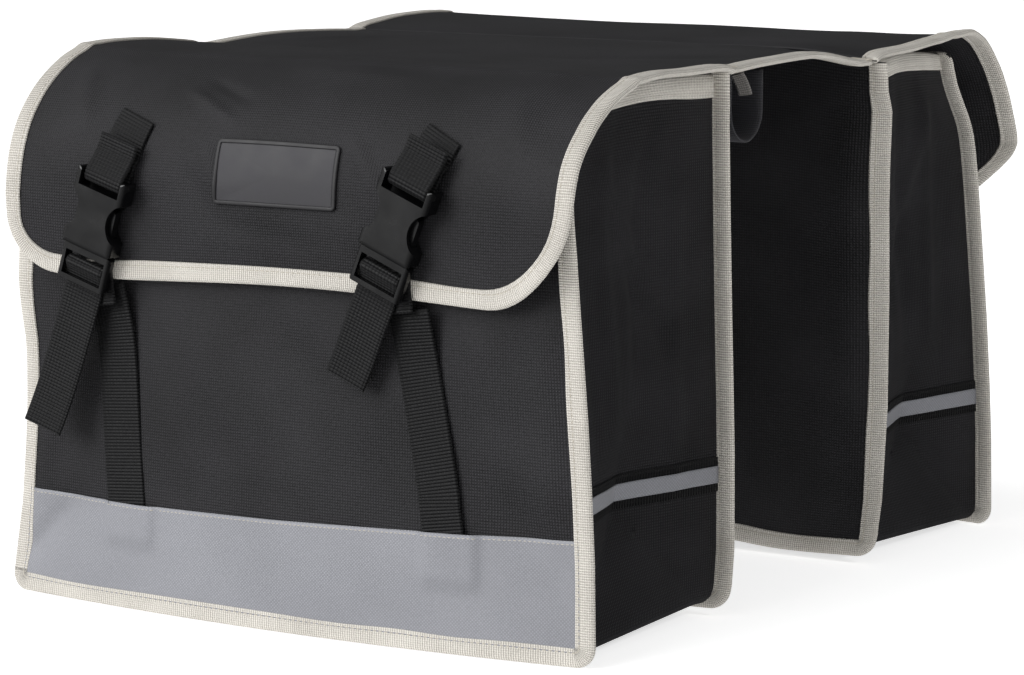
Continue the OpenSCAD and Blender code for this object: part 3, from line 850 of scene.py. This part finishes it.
def makeBag(side):
    bagBody, flapBody = side + "_bag", side + "_flap"

    innerSurface = innerSurfaceOf(0.15, 0.0) if side == "left" else innerSurfaceOf(1.0, topDroop)
    gussetSurface = gussetSurfaceOf(innerSurface)
    flapSurface = flapSurfaceOf(flap["near" if side == "left" else "far"])

    def piece(name, shape, material, body, slot, *nodes):
        # a body of None leaves the piece on no body, its placing baked into its points
        made = makePiece(side + name, shape, material, body, side == "right")
        if nodes:
            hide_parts(*[side + "_" + node for node in nodes])
        if body is None:
            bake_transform(made)
        return made

    def seam(surface, edge, closed=False, face=1):
        return stitchShape(surface, edge, closed, tape["width"] - tape["seam"], face * tape["proud"])

    # outer panel, its binding and the stitches
    inset, corner = tape["inset"], outer["corners"][0]
    edge = tongueEdge(halfWidth - inset, inset / 2, panelHeight - 0.001, *outer["corners"])
    grid = tongueGrid(halfWidth - 0.001, 0.001, panelHeight - 0.0015, corner - 0.0005, 90, 111)
    made = piece("OuterPanel", clothShape(outerSurface, *grid, outer["cloth"]), blackPolyester, bagBody,
                 "bag_fabric", "outer_panel")
    piece("OuterBinding", bindingShape(outerSurface, edge, closed=True), offWhiteTape, bagBody, "binding_tape",
          "outer_binding")
    piece("OuterBindingStitches", seam(outerSurface, edge, True), paleThread, bagBody, "binding_tape")

    # inner panel, the same way; its stitches show on both faces
    edge = tongueEdge(halfWidth - inset, inset / 2, panelHeight - 0.0006, corner)
    grid = tongueGrid(halfWidth - 0.001, 0.001, panelHeight - 0.0004, corner - 0.0005, 60, 71)
    made = piece("InnerPanel", clothShape(innerSurface, *grid, inner["cloth"]), blackPolyester, bagBody,
                 "bag_fabric", "inner_panel")
    piece("InnerBinding", bindingShape(innerSurface, edge), offWhiteTape, bagBody, "binding_tape",
          "inner_binding")
    piece("InnerBindingStitches", joined(seam(innerSurface, edge), seam(innerSurface, edge, face=-1)),
          paleThread, bagBody, "binding_tape")

    # gusset with its rim tape and the grey strips across its ends; its columns are closer near both ends' folds
    end = gussetLength[-1]
    columns = np.unique(np.concatenate([np.linspace(0, end, 190), end - np.linspace(0, 0.3, 60),
                                        np.linspace(0.26, 0.30, 12), end - np.linspace(0.26, 0.30, 12)]))
    v, u = np.meshgrid(np.linspace(0, gussetDepth, 45), columns, indexing="ij")
    made = piece("Gusset", clothShape(gussetSurface, v, u, gusset["cloth"]), blackPolyester, bagBody,
                 "bag_fabric", "gusset")
    rims = [np.array([[gussetDepth - 0.001, end - 0.0003], [0.001, end - 0.0003]]),
            np.array([[0.001, 0.0003], [gussetDepth - 0.001, 0.0003]])]
    piece("RimBindings", joined(*[bindingShape(gussetSurface, rim) for rim in rims]), offWhiteTape, bagBody,
          "binding_tape", "rim_bindings")
    down = gussetTop - (stripLow[2] + stripHigh[2]) / 2
    ends = (down, end - down)
    strips = [gussetBand(gussetSurface, at, gusset["strip"], 7, 0.0019, 0.0006, 0.0015) for at in ends]
    backs = [gussetBand(gussetSurface, at, gusset["stripTape"], 9, 0.0012, 0.0008, 0.0012) for at in ends]
    piece("SideStrips", joined(*strips), reflectiveCloth, bagBody, "reflective_fabric", "side_strips")
    piece("SideStripTapes", joined(*backs), blackWebbing, bagBody, "webbing", "side_strips")

    # reflective band over the foot of the outer panel
    start, top = band["start"], 0.0565
    a, low = tongueGrid(halfWidth - 0.006, 0.005, top, 0.008, 24, 131)
    b = np.where(low > start, start + (low - start) * (bandTop(a) - start) / (top - start), low)
    piece("ReflectiveBand", clothShape(bandSurface, a, b, band["thickness"]), reflectiveCloth, bagBody,
          "reflective_fabric", "reflective_band")
    line = np.linspace(-halfWidth + 0.008, halfWidth - 0.008, 160)
    line = np.stack([line, bandTop(line) - 0.0018], -1)
    piece("BandStitches", stitchShape(bandSurface, line, False, 0, 0.0003, 0.0026, 0.0019, 0.00024), paleThread,
          bagBody, "reflective_fabric")

    # flap, its binding, stitches and label
    edge = tongueEdge(flap["half"] - inset, inset, flapLength, flap["corners"])
    grid = tongueGrid(flap["half"] - 0.001, 0.001, flapLength, np.array(flap["corners"]) - 0.0006, 110, 131)
    made = piece("Flap", clothShape(flapSurface, *grid, flap["cloth"]), blackPolyester, None, "bag_fabric",
                 "flap")
    piece("FlapBinding", bindingShape(flapSurface, edge), offWhiteTape, None, "binding_tape", "flap_binding")
    piece("FlapBindingStitches", seam(flapSurface, edge), paleThread, None, "binding_tape")
    border, inside = patchShapes(flapSurface)
    piece("LabelPatch", inside, labelRubber, flapBody, "label_patch", "label_patch")
    piece("LabelBorder", border, labelBorder, flapBody, "label_patch", "label_patch")

    # straps; the buckles are the frame's own nodes
    for which in ("front", "rear"):
        size, name, start = straps[which], which.capitalize(), side + "_" + which
        bar, slant, place = buckleOf(which)
        piece(name + "BaseStrap", baseStrapShape(size), blackWebbing, bagBody, "webbing", which + "_base_strap")
        piece(name + "FlapStrap", flapStrapShape(flapSurface, size, bar, slant, place), blackWebbing, flapBody,
              "webbing", which + "_flap_strap")
        piece(name + "StrapLoop", strapLoopShape(size, slant, place), blackWebbing, start + "_plug", "webbing",
              which + "_strap_loop")
        piece(name + "Tail", tailShape(size, slant, place), blackWebbing, start + "_tail", "webbing",
              which + "_tail")

    for name, node in frame["nodes"].items():
        if name.startswith(side) and name.rsplit("_", 1)[-1] in ("socket", "plug", "a", "b", "board"):
            node.data.materials.clear()
            node.data.materials.append(greyBoard if name.endswith("board") else blackAcetal)
    print(side, "bag made")


makeBag("left")
makeBag("right")


# the saddle that joins the bags
def bridgePiece(name, shape, material, slot, *nodes):
    made = makePiece(name, shape, material, "bridge")
    if nodes:
        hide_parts(*nodes)
    return made


x, y = np.meshgrid(np.linspace(-saddleHalf, saddleHalf, 91), np.linspace(saddleLow[1], saddleHigh[1], 47),
                   indexing="ij")
saddlePanel = bridgePiece("saddlePanel", clothShape(saddleSurface, x, y, saddle["cloth"]), blackPolyester,
                          "bag_fabric", "bridge_panel")
endX, leftY, rightY = saddleHalf + saddle["edge"], saddleLow[1] + saddle["edge"], saddleHigh[1] - saddle["edge"]
saddleEnds = [np.array([[endX, leftY], [endX, rightY]]), np.array([[-endX, rightY], [-endX, leftY]])]
bridgePiece("saddleBindings", joined(*[bindingShape(saddleSurface, end) for end in saddleEnds]), offWhiteTape,
            "binding_tape", "bridge_bindings")
bridgePiece("saddleStitches", joined(*[
    stitchShape(saddleSurface, end, False, tape["width"] - tape["seam"], height) for end in saddleEnds
    for height in (tape["proud"], -tape["proud"])]), paleThread, "binding_tape")

# a short row of stitches knots each end of the rear tape, and the tape's frayed end hangs under it
tacks = []
for end in (saddleLow[1] + saddle["tackInset"], saddleHigh[1] - saddle["tackInset"]):
    x = np.linspace(saddleHalf - 0.0100, saddleHalf + 0.0004, 9)
    place = saddleSurface(x, np.full(9, end)) + [0, 0, 0.0019]
    along, upward = np.tile([0.25, 0.97, 0.0], (9, 1)), np.tile([0.0, 0, 1], (9, 1))
    tacks.append(beadShape(place, along, upward, 0.0054, 0.0007))
bridgePiece("saddleTacks", joined(*tacks), paleThread, "binding_tape")
hang = np.array([[0.1655, -0.0575, 0.2835], [0.1662, -0.0545, 0.2795], [0.1668, -0.0520, 0.2750],
                 [0.1668, -0.0505, 0.2720]])
tapeEnd = ribbonShape(roundedPath(hang, 0.0008), np.array([0.3, -0.8, -0.5]), 0.0075, 0.0016)
bridgePiece("saddleTapeEnd", tapeEnd, greyTape, "binding_tape")

# the two loops under it: a half circle of wide webbing between two straight legs
loops = {"radius": 0.0165, "width": 0.040, "y": -0.045, "drop": 0.021}
loopShapes = []
for x in (loopLow[0] + loops["width"] / 2, loopHigh[0] - loops["width"] / 2):
    turn = np.linspace(math.pi, 2 * math.pi, 25)
    bend = np.stack([np.full(25, x), loops["y"] + loops["radius"] * np.cos(turn),
                     saddleLow[2] - loops["drop"] + loops["radius"] * np.sin(turn)], -1)
    first, last = bend[0] + [0, 0, loops["drop"] - 0.0006], bend[-1] + [0, 0, loops["drop"] - 0.0006]
    path = np.concatenate([[first, (first + bend[0]) / 2], bend, [(last + bend[-1]) / 2, last]])
    path = roundedPath(path, 0.002)
    facing = unit(np.cross(np.gradient(path, axis=0), np.broadcast_to([1.0, 0, 0], path.shape)))
    loopShapes.append(ribbonShape(path, facing, loops["width"], webbing["thickness"]))
# the loops wear the lighter webbing, whose colour is painted light
bridgePiece("rackLoops", joined(*loopShapes), loopWebbingPaintedLight, "webbing", "rack_loops")
print("saddle made")


# floor, light and camera
studio = {
    "keyFrom": (-0.50, -0.78, 0.38),     # the way to the big soft light, front left
    "dark": 0.06,                        # what the rest of the room gives
    "bright": 0.7,                       # the lit side of the room
    "sun": 1.5,
    "floorGlow": 0.68,                   # the floor is lit a little from within, so shadows on it stay faint
    "floorHalf": 30,                     # half of the floor's side
    "lookAt": (0, 0, 0.15),
    "camera": (1.1747, -1.8471, 0.4401),
    "lens": 138.75,
    "shift": (-0.0154, -0.0435),
}
world = bpy.data.worlds.new("studio")
bpy.context.scene.world = world
world.use_nodes = True
tree = world.node_tree
way = addNode(tree, "TexCoord").outputs["Generated"]
keyWay = tuple(unit(np.array(studio["keyFrom"])))
toKey = addNode(tree, "VectorMath", {0: way, 1: keyWay}, operation="DOT_PRODUCT")
glow = addNode(tree, "MapRange", {"Value": toKey.outputs["Value"], "From Min": 0.1, "From Max": 0.95,
                                  "To Min": studio["dark"], "To Max": studio["bright"]})
seen = addNode(tree, "LightPath").outputs["Is Camera Ray"]
level = addNode(tree, "Math", {0: seen, 1: glow.outputs["Result"]}, operation="MAXIMUM")
tree.links.new(level.outputs[0], tree.nodes["Background"].inputs["Strength"])
tree.nodes["Background"].inputs["Color"].default_value = (1, 1, 1, 1)

floorPoints = np.array([[-1, -1, 0], [1, -1, 0], [1, 1, 0], [-1, 1, 0]], float) * studio["floorHalf"]
floorMaterial, floorTree, floorShader = newMaterial("paleFloor", Roughness=0.9, Emission_Color=(1, 1, 1, 1),
                                                    Emission_Strength=studio["floorGlow"])
floorShader.inputs["Specular IOR Level"].default_value = 0.1
floorPlace = addNode(floorTree, "TexCoord").outputs["Object"]
floorShade = addNode(floorTree, "TexNoise", {"Vector": floorPlace, "Scale": 3.0})
floorTree.links.new(twoColours(floorTree, floorShade.outputs["Fac"], "#f4f4f4", "#f7f7f7"),
                    floorShader.inputs["Base Color"])
floor = makePiece("floor", (floorPoints, np.array([[0, 1, 2, 3]]), floorPoints[:, :2]), floorMaterial, None)
floor.visible_glossy = False


def placed(name, data, place=(0, 0, 0), turned=None):
    # a lamp or camera in the scene, turned as given or to look at the object
    thing = bpy.data.objects.new(name, data)
    bpy.context.collection.objects.link(thing)
    thing.location = place
    way = np.array(studio["lookAt"]) - np.array(place, float)
    tip = math.acos(-way[2] / np.linalg.norm(way))
    thing.rotation_euler = turned or (tip, 0, math.atan2(way[1], way[0]) - math.pi / 2)
    return thing


def areaLight(name, place, size, watts):
    data = bpy.data.lights.new(name, "AREA")
    data.shape, data.size, data.energy = "DISK", size, watts
    return placed(name, data, place)


areaLight("keyLight", (-1.6, -2.6, 1.1), 1.8, 34)
areaLight("sideLight", (2.6, -0.5, 1.9), 0.7, 22)
sun = bpy.data.lights.new("softSun", "SUN")
sun.energy, sun.angle = studio["sun"], math.radians(50)
placed("softSun", sun, turned=(math.radians(48), 0, math.radians(-30)))

cameraData = bpy.data.cameras.new("camera")
cameraData.lens, cameraData.sensor_width = studio["lens"], 36.0
cameraData.shift_x, cameraData.shift_y = studio["shift"]
cameraData.clip_end = 100
camera = placed("camera", cameraData, studio["camera"])
bpy.context.scene.camera = camera
bpy.context.scene.view_settings.view_transform = "Standard"
print("stage made")
